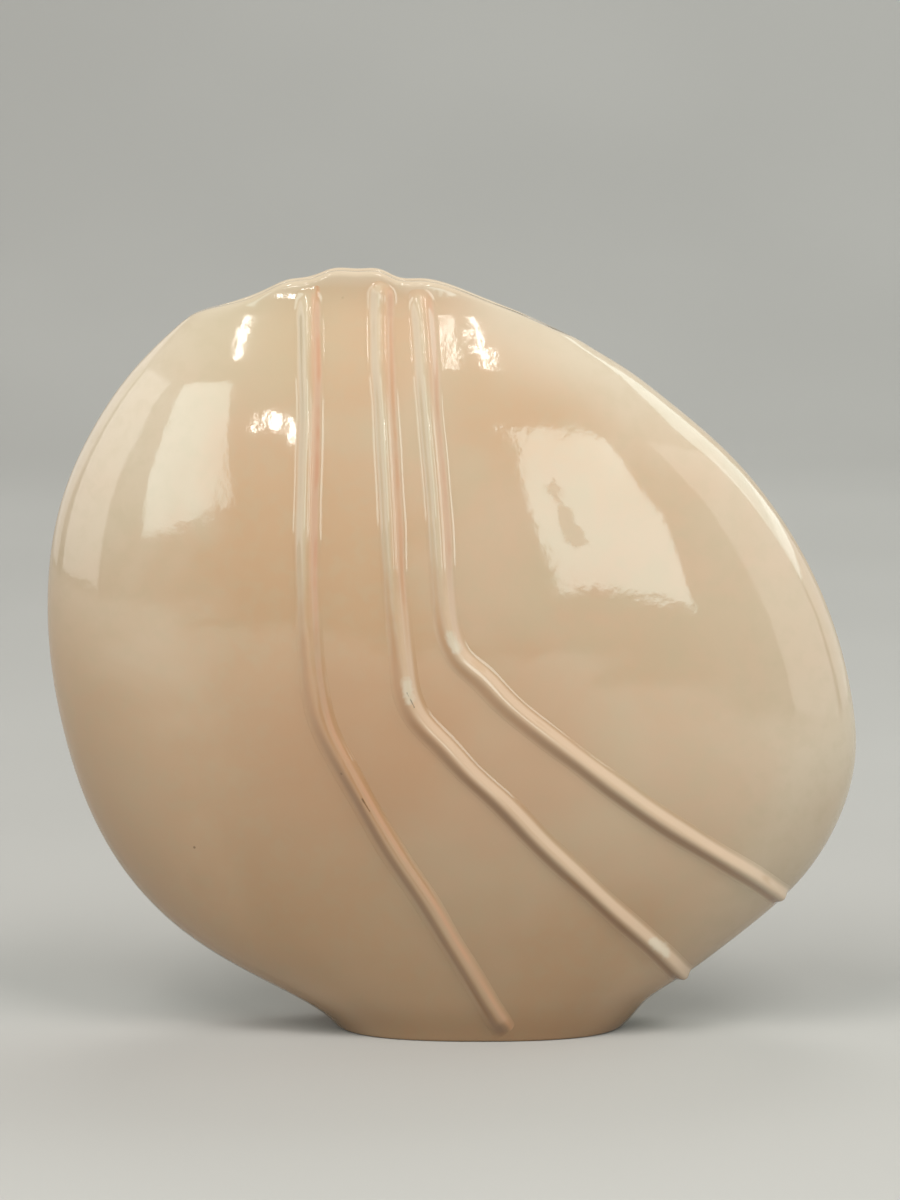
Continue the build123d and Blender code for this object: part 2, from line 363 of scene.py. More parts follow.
def wall_side(side, inset, into_wall, lip_radius):
    """Rows of points up one side of the wall: the foot's rounded edge, the skin, and the lip's
    rounded edge. into_wall is 1 where the wall lies towards the middle of the lens, else -1. The
    skin's rows are part even and part crowded towards both ends, as 1 - cos is."""
    u = u_columns
    top = lip_height(side, inset)
    grown = ease(1 - np.abs(u), 0, corner_share)
    radius = lip_radius * (least_radius_share + (1 - least_radius_share) * grown)
    lip_way = into_wall * level_inward(skin_point(u, top, side, inset), side)
    foot_way = into_wall * level_inward(skin_point(u, 0 * u, side, inset), side)
    angle = np.linspace(0, math.pi / 2, arc_rows)[:, None] + 0 * u
    bottom = angle[::-1]
    foot = skin_point(u, foot_radius * (1 - np.sin(bottom)), side, inset)
    foot = foot + foot_radius * (1 - np.cos(bottom))[..., None] * foot_way
    share = np.linspace(0, 1, skin_rows)[1:-1, None]
    share = even_share * share + (1 - even_share) / 2 * (1 - np.cos(math.pi * share))
    skin = skin_point(u, foot_radius + share * (top - radius - foot_radius), side, inset)
    lip = skin_point(u, top - radius * (1 - np.sin(angle)), side, inset)
    lip = lip + (radius * (1 - np.cos(angle)))[..., None] * lip_way
    lip[..., 2] += np.sin(angle)**2 * (lip_over(lip[..., 0]) - top)
    return np.concatenate((foot, skin, lip))


# %% A whole half
band_shares = (0.4, 0.6)
inside_fade = 0.012
lip_fade_down = 0.006


def make_half(name, node, side):
    """One half: the rows up the outside, then the rows up the inside turned round. Each has one
    row more across the foot ring and across the lip, a share of the way through the wall. The
    marks tell the glaze where it is: 0 to 1 across, inside the mouth, and close to the lip."""
    outside = wall_side(side, 0.0, 1, lip_radius_outside)
    inside = wall_side(side, wall, -1, lip_radius_inside)
    rows = []
    for share, own in zip(band_shares, (outside, inside)):
        foot_band = outside[:1] + share * (inside[:1] - outside[:1])
        lip_band = outside[-1:] + share * (inside[-1:] - outside[-1:])
        lip_band[..., 2] = lip_over(lip_band[..., 0])
        rows.append(np.concatenate((foot_band, own, lip_band)))
    grid = np.concatenate((rows[0], rows[1][::-1]))
    per_side = len(rows[0])
    below_lip = grid[per_side - 1, :, 2] - grid[..., 2]
    is_inside = np.arange(len(grid))[:, None] >= per_side
    marks = {
        "toward_edge": np.abs(u_columns),
        "inside": is_inside * np.clip(below_lip / inside_fade, 0, 1),
        "near_lip": 1 - np.clip(below_lip / lip_fade_down, 0, 1),
    }
    return make_piece(name, node, grid, grid_normals(grid, True), marks)


front_half = make_half("front_half", "front_shell", -1)
back_half = make_half("back_half", "back_shell", 1)

# %% [markdown]
# ## The floor inside the foot
#
# A vase holds water, so an oval slab closes the foot, set up a little inside the foot ring. It is
# one more loop carried from left to right: a box with rounded corners, which is what a circle
# becomes when its sine and cosine are pushed towards 1.

# %% Floor slab
floor_bottom = 0.0015
floor_top = 0.0075
floor_loop = 64
floor_columns = 121
floor_reach = 0.9995
corner_power = 0.14


def squared_off(value):
    """|value|^p with the value's own sign, which pushes it towards -1 or 1."""
    return np.sign(value) * np.abs(value)**corner_power


def make_floor():
    """For each column the loop is y = half depth * |cos a|^p and z = middle + half thickness *
    |sin a|^p, each with the sign of its sine or cosine. The ends stop just short of the edge."""
    angle = (np.arange(floor_loop)[:, None] + 0.5) / floor_loop * math.tau
    u = -floor_reach * np.cos(np.linspace(0, math.pi, floor_columns))
    middle, half_thickness = (floor_bottom + floor_top) / 2, (floor_top - floor_bottom) / 2
    z = middle + half_thickness * squared_off(np.sin(angle))
    rim = skin_point(u, z + 0 * u, 1, wall)
    rim[..., 1] *= squared_off(np.cos(angle))
    return make_piece("foot_floor", "base_floor", rim, grid_normals(rim), {})


foot_floor = make_floor()

# %% [markdown]
# ## The coils
#
# A coil is a roll of clay laid on the wet slab and smoothed down at both sides, so it rises from
# the skin in a soft hollow, rounds over, and comes down the same way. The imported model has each
# coil as a plain arch. Here its height over the skin is a smooth bump of the distance r from the
# coil's middle line: h = H exp(-r^p), with r counted in half widths. A larger p makes a flatter
# top with steeper flanks, as the upright lengths have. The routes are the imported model's own.

# %% Routes of the coils
left_route_shares = (
    (.326, .913), (.3275, .839), (.326, .757), (.324, .671), (.3247, .589), (.3275, .529),
    (.333, .471), (.3435, .425), (.360, .388), (.382, .345), (.403, .304), (.433, .250),
    (.466, .196), (.495, .142), (.5255, .086), (.5535, .033),
)
middle_upper_shares = (
    (.414, .913), (.418, .839), (.4225, .757), (.427, .671), (.4305, .600), (.436, .543),
    (.440, .502), (.4457, .4645),
)
middle_lower_shares = (
    (.4596, .435), (.4845, .4065), (.520, .366), (.5573, .329), (.606, .274),
    (.655, .223), (.7045, .171), (.753, .120),
)
right_upper_shares = (
    (.4656, .921), (.471, .840), (.4777, .764), (.4835, .690), (.4868, .632), (.490, .582),
    (.498, .538),
)
right_lower_shares = (
    (.511, .5125), (.533, .4915), (.557, .465), (.606, .420), (.6545, .380),
    (.7033, .340), (.7525, .3015), (.802, .266), (.852, .230), (.8775, .210),
)
left_foot_share = .5665
coil_lip_gap = 0.0028
coil_foot_gap = 0.0030
route_steps = 4001
end_span = 40


def waypoints(shares):
    """Places in the front view, in metres."""
    return [(along(share), up * height) for share, up in shares]


def top_end(share):
    """Where a coil starts, just under the lip."""
    return [(along(share), float(rim_height(along(share))) - coil_lip_gap)]


def edge_end(share):
    """Where a coil runs out, on the right edge of the body."""
    return [(float(right_edge(share * height)), share * height)]


def on_skin(x, z):
    """The point of the front skin straight behind a place in the front view, drawn back onto the
    outline where it lies outside."""
    return skin_point(share_across(x, z), z, -1)


def outward(points):
    """Square to the front skin: the slope of y^2 - depth^2 * lens, the skin's own formula."""
    x, y, z = (points[..., k] for k in range(3))
    left, right, deep = level_cut(z, 0)
    half = (right - left) / 2
    u = share_across(x, z)
    lens = 1 - fullness_share * u**2 - (1 - fullness_share) * u**4
    fall = -2 * fullness_share * u - 4 * (1 - fullness_share) * u**3
    left_slope, right_slope = left_edge(z, slope=True), right_edge(z, slope=True)
    drift = -((left_slope + right_slope) / 2 + u * (right_slope - left_slope) / 2) / half
    climb = 2 * deep * half_depth(z, slope=True) * lens + deep**2 * fall * drift
    return unit(np.stack((-deep**2 * fall / half, 2 * y, -climb), axis=-1))


def lay_route(points):
    """A smooth line through the waypoints, laid on the skin and measured along it. Returns a
    function from distance to x and z, straight on past both ends, and the length."""
    x, z = np.array(points).T
    travelled = np.concatenate(([0], np.cumsum(np.hypot(np.diff(x), np.diff(z)))))
    place = np.linspace(0, travelled[-1], route_steps)
    line = np.stack((smooth_curve(list(zip(travelled, x)))(place),
                     smooth_curve(list(zip(travelled, z)))(place)))
    skin = on_skin(*line)
    distance = np.concatenate(([0], np.cumsum(np.linalg.norm(np.diff(skin, axis=0), axis=1))))

    def at(s):
        inside = np.clip(s, 0, distance[-1])
        spot = np.stack([np.interp(inside, distance, row) for row in line])
        after, before = [end_span, -1], [0, -1 - end_span]
        ends = (line[:, after] - line[:, before]) / (distance[after] - distance[before])
        past = np.where(s < 0, s, np.maximum(s - distance[-1], 0))
        return spot + past * np.where(s < 0, ends[:, :1], ends[:, 1:])

    return at, float(distance[-1])


# %% [markdown]
# A coil's two sheets are grids over the skin: the upper one is the bump, and the lower one runs
# just inside the wall, where nobody sees it. The bump's margin slips a hair's breadth under the
# skin, so that the glaze seems to flow on without a line. At its ends a coil is thumbed down into
# the wall, which is a fade of its height. The middle and the right coil were each laid in two
# lengths that meet at the bend. They are worked out in one go and cut there. On the upright
# lengths the glaze left a faint groove just beside the crest.

# %% Sizes of the coils
coil_height = 0.0027
coil_half_width_top = 0.0033
coil_half_width_low = 0.0026
coil_rows = 45
coil_step = 0.0008
margin_share = 1.95
dive_share = 1.65
bump_power_top = 3.0
bump_power_low = 2.2
tuck = 0.00003
skin_depth = 0.0010
before_start = 0.0045

# Two waves of the width: how much it swells, and how far along the wave turns by one radian
slow_swell, slow_wave = 0.03, 0.011
fast_swell, fast_wave = 0.02, 0.0047

# Where the slanting run begins, by how far down the vase it is
bend_start, bend_end = 0.35, 0.65

# The groove beside the crest: its depth as a share of the height, its place and its width
groove_depth, groove_place, groove_width = 0.09, 0.28, 0.17

# How near a coil's margin comes to the outline and to the lip, and how softly it is held back
edge_gap, edge_softness = 0.0002, 0.0003
lip_gap, lip_softness = 0.0022, 0.0004
fade_below_lip = 0.0018
nose_reach = 1.3
dive_depth = 0.25
lowest_upper, lowest_lower = 0.0004, 0.0002


# %% Soft limit
def ease_under(value, limit, width):
    """The value, easing up to a limit instead of passing it: the limit less
    w ln(1 + e^((limit - value) / w))."""
    return limit - width * np.logaddexp(0, (limit - value) / width)


# %% Coil maker
def coil_grid(points, lip_fade, end_fade, stop_short, warm, nose):
    """The loop grid of a coil along a route, its marks, and the distance of each column along the
    route. The height fades in below the lip, and out towards a point that stops short of the end
    of the route. A nose of 1 rounds the start. A warm coil carries a mark of 1 that the glaze
    reads."""
    at, length = lay_route(points)
    s = np.linspace(-before_start, length, int((length + before_start) / coil_step) + 1)
    x, z = at(s)
    middle_line = on_skin(x, z)
    heading = unit(np.gradient(middle_line, axis=0))
    aside = unit(np.cross(outward(middle_line), heading))
    low = 1 - np.clip(z / height, 0, 1)
    a = coil_half_width_top + (coil_half_width_low - coil_half_width_top) * low
    a = a * (1 + slow_swell * np.sin(s / slow_wave) + fast_swell * np.sin(s / fast_wave + 1))
    across = np.linspace(-margin_share, margin_share, coil_rows)[:, None]
    base_z = z + across * a * aside[:, 2]
    base_x = ease_under(x + across * a * aside[:, 0], right_edge(base_z) - edge_gap, edge_softness)
    under_lip = lip_over(base_x) - base_z
    base_z = ease_under(base_z, lip_over(base_x) - lip_gap, lip_softness)
    base = on_skin(base_x, base_z)
    r = np.hypot(across, nose * np.maximum(0, nose_reach * a - s) / a)
    lower_run = ease(low, bend_start, bend_end)
    power = bump_power_top + (bump_power_low - bump_power_top) * lower_run
    groove = groove_depth * (1 - lower_run) * np.exp(-((across - groove_place) / groove_width)**2)
    crest = np.exp(-r**power) * (1 - groove)
    end = length - stop_short
    fade = ease(under_lip, fade_below_lip, fade_below_lip + lip_fade)
    fade = fade * (1 - ease(s, end - end_fade, end))
    dive = np.clip((r - dive_share) / (margin_share - dive_share), 0, 1)**2
    rise = coil_height * (crest * fade - dive_depth * dive) - tuck
    way = outward(base)
    upper = base + rise[..., None] * way
    lower = base - skin_depth * way
    upper[..., 2] = np.maximum(upper[..., 2], lowest_upper)
    lower[..., 2] = np.maximum(lower[..., 2], lowest_lower)
    marks = {"toward_edge": np.abs(share_across(base_x, base_z)), "across": across + 0 * r,
             "crest": crest * fade, "warm": warm + 0 * r}
    marks = {mark: np.concatenate((values, values[::-1])) for mark, values in marks.items()}
    return np.concatenate((upper, lower[::-1])), marks, s


def make_coil(names, points, lip_fade, end_fade, stop_short=0.0, upper=None, warm=0.0, nose=0.0):
    """The pieces of one coil, from (name, node) pairs, cut at the column nearest to the end of
    its upper length."""
    grid, marks, s = coil_grid(points, lip_fade, end_fade, stop_short, warm, nose)
    normals = grid_normals(grid)
    cut = np.argmin(np.abs(s - lay_route(upper)[1])) if upper else len(s) - 1
    parts = (slice(0, cut + 1), slice(cut, len(s)))
    return [make_piece(name, node, grid[:, part], normals[:, part],
                       {mark: values[:, part] for mark, values in marks.items()})
            for (name, node), part in zip(names, parts)]


# %% The three coils
run_out = 0.0070
left_points = top_end(.324) + waypoints(left_route_shares)
left_points += [(along(left_foot_share), coil_foot_gap)]
middle_upper = top_end(.414) + waypoints(middle_upper_shares)
middle_lower = waypoints(middle_lower_shares) + edge_end(.070)
right_upper = top_end(.460) + waypoints(right_upper_shares)
right_lower = waypoints(right_lower_shares) + edge_end(.174)
coils = make_coil([("left_coil", "left_ridge")], left_points, lip_fade=0.0130, end_fade=0.0060,
                  warm=1.0)
coils += make_coil(
    [("middle_upper_coil", "middle_ridge_upper"), ("middle_lower_coil", "middle_ridge_lower")],
    middle_upper + middle_lower, lip_fade=0.0060, end_fade=0.0075, stop_short=run_out,
    upper=middle_upper, nose=1.0)
coils += make_coil(
    [("right_upper_coil", "right_ridge_upper"), ("right_lower_coil", "right_ridge_lower")],
    right_upper + right_lower, lip_fade=0.0120, end_fade=0.0075, stop_short=run_out,
    upper=right_upper)

# %% [markdown]
# ## Sums for shaders
#
# A glaze is a mixture of many small rules: paler towards the edge, warmer on one flank of a coil,
# a dark speck here and there. They read best as ordinary sums. The class below lets a socket of a
# node stand in a Python expression, and each sign in the expression adds the Math node it means.

# %% Sums and nodes
class Value:
    """A socket that can be added, subtracted and multiplied."""

    def __init__(self, paint, socket):
        self.paint = paint
        self.socket = socket

    def math(self, operation, first, second=0.0):
        return self.paint.node("ShaderNodeMath", {"operation": operation}, {0: first, 1: second})

    def __add__(self, other):
        return self.math("ADD", self, other)

    def __mul__(self, other):
        return self.math("MULTIPLY", self, other)

    def __sub__(self, other):
        return self.math("SUBTRACT", self, other)

    def __rsub__(self, other):
        return self.math("SUBTRACT", other, self)

    __radd__ = __add__
    __rmul__ = __mul__


class Paint:
    """A material under construction. A patch or a streak is full over its core, a share of its
    size, and fades from there."""

    patch_core = 0.3
    streak_core = 0.2

    def __init__(self, name):
        self.material = bpy.data.materials.new(name)
        self.material.use_nodes = True
        self.tree = self.material.node_tree
        self.tree.nodes.clear()

    def node(self, kind, settings=None, sockets=None, output=0):
        """Adds a node: its settings first, then a number or a link for each socket."""
        made = self.tree.nodes.new(kind)
        for name, value in (settings or {}).items():
            setattr(made, name, value)
        for name, value in (sockets or {}).items():
            if isinstance(value, Value):
                self.tree.links.new(value.socket, made.inputs[name])
            else:
                made.inputs[name].default_value = value
        return Value(self, made.outputs[output]) if made.outputs else None

    def mark(self, name):
        """A number that a mesh carries at each of its points."""
        return self.node("ShaderNodeAttribute", {"attribute_name": name}, output="Fac")

    def place(self):
        """The point on the object, in metres."""
        return self.node("ShaderNodeTexCoord", output="Object")

    def noise(self, size, detail=2.0, warp=0.0, shift=(0.0, 0.0, 0.0)):
        """Cloudy noise around 0.5, whose patches are about one size across, in metres."""
        moved = self.node("ShaderNodeMapping", None, {"Vector": self.place(), "Location": shift})
        return self.node("ShaderNodeTexNoise", {"noise_dimensions": "3D"}, {
            "Vector": moved, "Scale": 1 / size, "Detail": detail, "Distortion": warp})

    def fade(self, value, start, end):
        """0 at start and 1 at end, eased at both."""
        return self.node("ShaderNodeMapRange", {"interpolation_type": "SMOOTHSTEP"},
                         {"Value": value, "From Min": start, "From Max": end})

    def blend(self, share, one, other, way="MIX"):
        """From one colour to another, by a share."""
        return self.node("ShaderNodeMix", {"data_type": "RGBA", "blend_type": way},
                         {0: share, 6: one, 7: other}, output=2)

    def patch(self, centre, size):
        """1 in a round patch about a point, 0 outside it, in metres."""
        apart = self.vector("DISTANCE", self.place(), centre, "Value")
        return 1 - self.fade(apart, size * self.patch_core, size)

    def patches(self, table):
        """A layer for each row of a table: a place, a size, a share and a colour."""
        return [(self.patch(centre, size) * share, tint) for centre, size, share, tint in table]

    def layers(self, base, rows, way="MIX"):
        """A colour under layers, each a share and another colour."""
        for share, tint in rows:
            base = self.blend(share, base, tint, way)
        return base

    def vector(self, operation, first, second, output="Vector"):
        """A sum on two vectors, whose result is a vector or, with output Value, a number."""
        sockets = {0: first, 1: second}
        return self.node("ShaderNodeVectorMath", {"operation": operation}, sockets, output)

    def reach(self, x, y, z):
        """How far along a direction a point lies, in metres."""
        return self.vector("DOT_PRODUCT", self.place(), (x, y, z), "Value")

    def finish(self, sockets):
        """The material, with a Principled shader that has these numbers or links."""
        shader = self.node("ShaderNodeBsdfPrincipled", None, sockets)
        self.node("ShaderNodeOutputMaterial", None, {"Surface": shader})
        return self.material

    def streak(self, ends, width, ragged):
        """1 along a short line in the front view, 0 beyond a width. The nearest point of the line
        is its start plus t times the line, t = (place - start) . line / line^2, kept in 0 to 1."""
        start, end = (np.array((along(share), 0, up * height)) for share, up in ends)
        line = end - start
        flat = self.vector("MULTIPLY", self.place(), (1, 0, 1))
        reach = self.vector("SUBTRACT", flat, tuple(start))
        t = self.vector("DOT_PRODUCT", reach, tuple(line / line.dot(line)), "Value")
        t = self.node("ShaderNodeClamp", None, {"Value": t})
        foot = self.node("ShaderNodeVectorMath", {"operation": "SCALE"},
                         {0: tuple(line), "Scale": t})
        apart = self.vector("DISTANCE", reach, foot, "Value")
        return 1 - self.fade(apart + ragged, width * self.streak_core, width)


def colour(red, green, blue):
    """A colour as it looks on a screen, 0 to 255, turned into the light it stands for."""
    shares = (np.array((red, green, blue)) / 255 + 0.055) / 1.055
    return (*(float(share) for share in shares**2.4), 1.0)


print("a mid grey on the screen is this much light:", round(colour(128, 128, 128)[0], 3))

# %% [markdown]
# ## The pearl glaze
#
# The potter sprayed it: peach over the belly, with clouds of a deeper blush, and a pale greenish
# cream towards the upper edges and the lip. Low down, and more on the left, a Multiply lays a tan
# painted shade over everything else, with more of it near the outer edge low down and just above
# the floor. Noise at three sizes keeps any of it from being even, and a few iron specks show as
# dark dots. Each rule below is a share from 0 to 1, and each Mix goes that share of the way to the
# next colour.
#
# The glaze is very glossy, but it isn't a mirror: it settled in slow ripples, so the edge of a
# reflection is ragged, and in one short streak it crawled and stayed a little dull.

# %% Colours of the glaze
peach = colour(214, 184, 155)
blush = colour(210, 173, 138)
cream = colour(222, 207, 185)
sage = colour(202, 186, 156)
ember = colour(203, 154, 114)
# The tan is a painted shade, which a Multiply lays over the lower part
painted_shade_tan = (0.62, 0.56, 0.47, 1.0)
speck_brown = colour(112, 84, 60)

# Clouds of blush: a place and a reach. The last three are on the back.
blush_clouds = (
    ((-0.070, -0.036, 0.180), 0.070), ((-0.050, -0.036, 0.130), 0.060),
    ((-0.070, -0.036, 0.075), 0.065), ((0.045, -0.034, 0.022), 0.045),
    ((0.068, -0.030, 0.222), 0.042), ((0.016, -0.022, 0.236), 0.040),
    ((-0.045, -0.018, 0.255), 0.040), ((-0.112, -0.024, 0.145), 0.058),
    ((0.060, 0.034, 0.170), 0.070), ((-0.060, 0.036, 0.110), 0.065),
    ((-0.040, 0.030, 0.220), 0.050),
)

# Single patches of another colour: a place, a reach, a share and the colour
shoulder_patches = (
    ((-0.078, -0.012, 0.262), 0.045, 0.5, sage), ((0.022, -0.010, 0.264), 0.038, 0.4, cream),
)
belly_patches = (
    ((-0.046, -0.038, 0.112), 0.050, 0.5, ember), ((0.004, -0.040, 0.112), 0.055, 0.4, ember),
)
bare_edge_patch = ((0.100, -0.020, 0.170), 0.080)

# Sizes in the glaze, in metres
cloud_size, mottle_size, wash_size, speck_group_size = 0.060, 0.006, 0.034, 0.024
specks_per_metre = 42.0

# The slanted directions that the low painted shade and the pale edge follow
low_way = (0.28, 0, 0.96)
pale_way = (0.45, 0, 0.9)


# %% The glaze, rule by rule
def glaze_colour(paint):
    """Layers of the colours above over the peach, then the tan painted shade, then the specks."""
    cloud = paint.noise(cloud_size, 3.0, 0.6)
    mottle = paint.noise(mottle_size, 5.0, 0.2, (0.3, 0.1, 0.2))
    heavy = sum(paint.patch(centre, reach) for centre, reach in blush_clouds)
    up = paint.reach(0, 0, 1)
    low = 1 - paint.fade(paint.reach(*low_way), 0.0, 0.19)
    warm = paint.fade(heavy * 0.5 + low * 0.3 + (cloud - 0.5) * 1.2, -0.1, 0.6)
    wash = paint.noise(wash_size, 2.0, 0.8, (0.6, 0.2, 0.5))
    edge = paint.fade(paint.mark("toward_edge") + (cloud - 0.5) * 0.5, 0.50, 1.0)
    edge = edge * (1 - paint.patch(*bare_edge_patch) * 0.5)
    pale = paint.fade(paint.reach(*pale_way) + (cloud - 0.5) * 0.04, 0.03, 0.13)
    base = paint.layers(peach, [
        (warm * 0.9, blush),
        (paint.fade(wash - warm * 0.15, 0.40, 0.62) * (0.35 - low * 0.25), sage),
        (edge * (0.15 + pale * 0.75), cream),
        (paint.fade(up, 0.17, 0.27) * 0.15, cream),
        (paint.fade(mottle, 0.40, 0.70) * 0.22, sage),
        *paint.patches(shoulder_patches),
        (paint.mark("near_lip") * 0.7, cream),
        *paint.patches(belly_patches),
    ])
    # Painted shade: the tan, laid low down and more on the left, with a second layer near the outer
    # edge low down and a third just above the floor
    under = low * paint.fade(paint.mark("toward_edge"), 0.65, 1.0)
    at_foot = 1 - paint.fade(up, 0.003, 0.018)
    painted_shades = (low * (1 - edge * 0.4), under * 0.6, at_foot * 0.8)
    base = paint.layers(base, [(share, painted_shade_tan) for share in painted_shades], "MULTIPLY")
    dots = paint.node("ShaderNodeTexVoronoi", {"feature": "F1"}, {
        "Vector": paint.place(), "Scale": specks_per_metre, "Randomness": 1.0}, output="Distance")
    few = paint.noise(speck_group_size, 0.0, 0.0, (0.7, 0.4, 0.9))
    specks = (1 - paint.fade(dots, 0.012, 0.030)) * paint.fade(few, 0.56, 0.60)
    return paint.blend(specks * 0.75, base, speck_brown)


# %% Ripples and gloss
ripple_unit = 0.001
slow_ripple, slow_ripple_size = 0.09, 0.016
fine_ripple, fine_ripple_size = 0.032, 0.0035
glaze_ior = 1.8


def glaze_ripple(paint):
    """Ripples of the settled glaze at two sizes, as a bent normal."""
    slow = paint.noise(slow_ripple_size, 1.0, 0.3, (0.2, 0.5, 0.1))
    fine = paint.noise(fine_ripple_size, 2.0, 0.0, (0.9, 0.2, 0.4))
    return paint.node("ShaderNodeBump", None, {
        "Strength": 1.0, "Distance": ripple_unit,
        "Height": slow * slow_ripple + fine * fine_ripple})


def finish_glaze(paint, base, rough):
    """The shader of a glossy glaze over fired clay."""
    return paint.finish({"Base Color": base, "Roughness": rough, "IOR": glaze_ior,
                         "Normal": glaze_ripple(paint)})


# %% Pearl glaze on both halves
dull_line = ((.622, .730), (.649, .662))
dull_width, dull_ragged = 0.0042, 0.012
inside_grey = colour(168, 160, 134)


def make_pearl_glaze():
    """The sprayed glaze, darker and greyer inside the mouth, with the dull streak on the front
    alone.
    """
    paint = Paint("pearl_glaze")
    base = glaze_colour(paint)
    base = paint.blend(paint.mark("inside") * 0.8, base, inside_grey)
    ragged = paint.noise(0.005, 3.0, 0.6) - 0.5
    on_front = paint.fade(paint.reach(0, -1, 0), 0, 0.01)
    dull = paint.streak(dull_line, dull_width, ragged * dull_ragged) * on_front
    return finish_glaze(paint, base, 0.05 + paint.noise(0.03, 2.0) * 0.04 + dull * 0.35)


pearl_glaze = make_pearl_glaze()

# %% [markdown]
# ## The glaze on the coils
#
# On each upright length the left flank is a pale sage, partly the glaze's own colour and partly a
# painted reflection of the left window, and the right flank a warm coral, partly the glaze's own
# colour and partly painted light, with a thin orange line where the glaze pooled. On the slanting
# lengths the upper flank has a painted highlight of rosy cream, on the left coil only a touch of
# coral, and the hollow below has a painted shade of brown, a softer ember where the lengths turn
# from upright. The left coil, the warm one, is orange down its right side. At the two joints a dab
# of glaze stayed nearly white, and a fine dark crack runs through the middle one. These few marks
# are placed one by one, each as a streak between two points of the front view. Across a coil, -1
# and 1 stand for its two sides and 0 for its middle line.

# %% Ridge glaze
# The pale sage and the coral are partly glaze colour and partly painted reflection and painted
# light
pale_sage_and_reflection = colour(214, 200, 174)
coral = colour(220, 174, 144)
orange = colour(214, 150, 110)
# The rosy cream is a painted highlight on the lit flank
painted_highlight_cream = colour(226, 198, 170)
# The brown is a painted shade in the hollow beside a slanting coil
painted_shade_brown = colour(140, 102, 70)
milk = colour(222, 210, 188)
dark_crack = colour(74, 54, 38)

joint_dabs = (((.4445, .485), (.4478, .462)), ((.4965, .546), (.5045, .528)))
end_dabs = (((.746, .136), (.762, .118)),)
joint_crack = ((.4448, .4715), (.4535, .4530))
coil_nick = ((.3900, .3330), (.3990, .3170))

# Width and raggedness of the marks, in metres
dab_width, dab_ragged = 0.0026, 0.0030
crack_width, crack_ragged = 0.00042, 0.0015
nick_width, nick_ragged = 0.0004, 0.0008


def make_ridge_glaze():
    """The same glaze, with the colours of each flank, then the marks placed one by one."""
    paint = Paint("ridge_glaze")
    base = glaze_colour(paint)
    across = paint.mark("across")
    crest = paint.mark("crest")
    warm = paint.mark("warm")
    wander = paint.noise(0.02, 2.0, 0.0, (0.4, 0.4, 0.1)) - 0.5
    ragged = paint.noise(0.003, 3.0, 0.4, (0.2, 0.8, 0.6)) - 0.5
    upright = paint.fade(paint.reach(0, 0, 1) + wander * 0.04, 0.145, 0.185)
    on_coil = paint.fade(crest, 0.02, 0.35)
    left = 1 - paint.fade(across + wander * 0.5, -0.35, 0.10)
    right = paint.fade(across + wander * 0.5, 0.05, 0.5)
    # Painted highlight: the lit upper flank of each slanting length, a touch of coral on the warm
    # coil
    lit = paint.fade(across, -0.4, 0.3) * on_coil * (1 - upright)
    below = across - warm * 0.4
    # Painted shade: the hollow on the shaded side of a coil, brown on the slanting lengths and a
    # softer ember where they turn from upright
    hollow = paint.fade(below, -1.7, -1.1) * (1 - paint.fade(below, -0.8, -0.1))
    slanting = 1 - paint.fade(paint.reach(0, 0, 1), 0.085, 0.135)
    side = paint.fade(across, 0.2, 0.9) * (1 - paint.fade(across, 1.3, 1.9))
    line = paint.fade(across, 0.6, 0.95) * (1 - paint.fade(across, 1.0, 1.4))
    line = line * paint.fade(wander, -0.15, 0.1) * (warm * 0.25 + upright * 0.3)
    dabs = [paint.streak(ends, dab_width, ragged * dab_ragged) for ends in joint_dabs + end_dabs]
    crack = paint.streak(joint_crack, crack_width, ragged * crack_ragged)
    nick = paint.streak(coil_nick, nick_width, ragged * nick_ragged)
    base = paint.layers(base, [
        # The upright flanks: partly glaze colour, partly a painted reflection of the left window
        # and painted light
        (left * on_coil * upright * 0.55, pale_sage_and_reflection),
        (right * on_coil * upright * (0.35 + warm * 0.25), coral),
        (lit * (0.6 - warm * 0.6), painted_highlight_cream),
        (lit * warm * 0.05, coral),
        (hollow * (1 - upright) * (1 - slanting) * 0.35, ember),
        (hollow * slanting * (0.7 - warm * 0.1), painted_shade_brown),
        (side * slanting * warm * 0.35, ember),
        (line, orange),
        *((dab * 0.7, milk) for dab in dabs),
        (crack * 0.8 + nick * 0.6, dark_crack),
    ])
    return finish_glaze(paint, base, 0.06 + crack * 0.4)


ridge_glaze = make_ridge_glaze()

# %% [markdown]
# ## Bare clay
#
# The floor slab is seen only from below. The potter wiped it, so the stoneware there is matt and
# gritty, a little darker where a damp sponge dragged.

# %% Bare clay
dry_clay = colour(206, 186, 158)
damp_clay = colour(184, 160, 130)
dark_grit = colour(128, 104, 80)
grit_size, grit_depth = 0.0012, 0.0004
drag_size = 0.018


def make_bare_clay():
    """Matt clay: damp drags as slow noise, and grit as noise of about a millimetre that also
    bends the normal."""
    paint = Paint("bare_clay")
    grit = paint.noise(grit_size, 4.0)
    drag = paint.noise(drag_size, 2.0, 1.5)
    base = paint.layers(dry_clay, [(paint.fade(drag, 0.35, 0.7), damp_clay),
                                   (paint.fade(grit, 0.58, 0.72) * 0.5, dark_grit)])
    normal = paint.node("ShaderNodeBump", None,
                        {"Strength": 0.6, "Distance": grit_depth, "Height": grit})
    return paint.finish({"Base Color": base, "Roughness": 0.75 + grit * 0.15, "Normal": normal})


bare_clay = make_bare_clay()
for piece in (front_half, back_half):
    piece.data.materials.append(pearl_glaze)
for piece in coils:
    piece.data.materials.append(ridge_glaze)
foot_floor.data.materials.append(bare_clay)
print("materials:", [material.name for material in (pearl_glaze, ridge_glaze, bare_clay)])

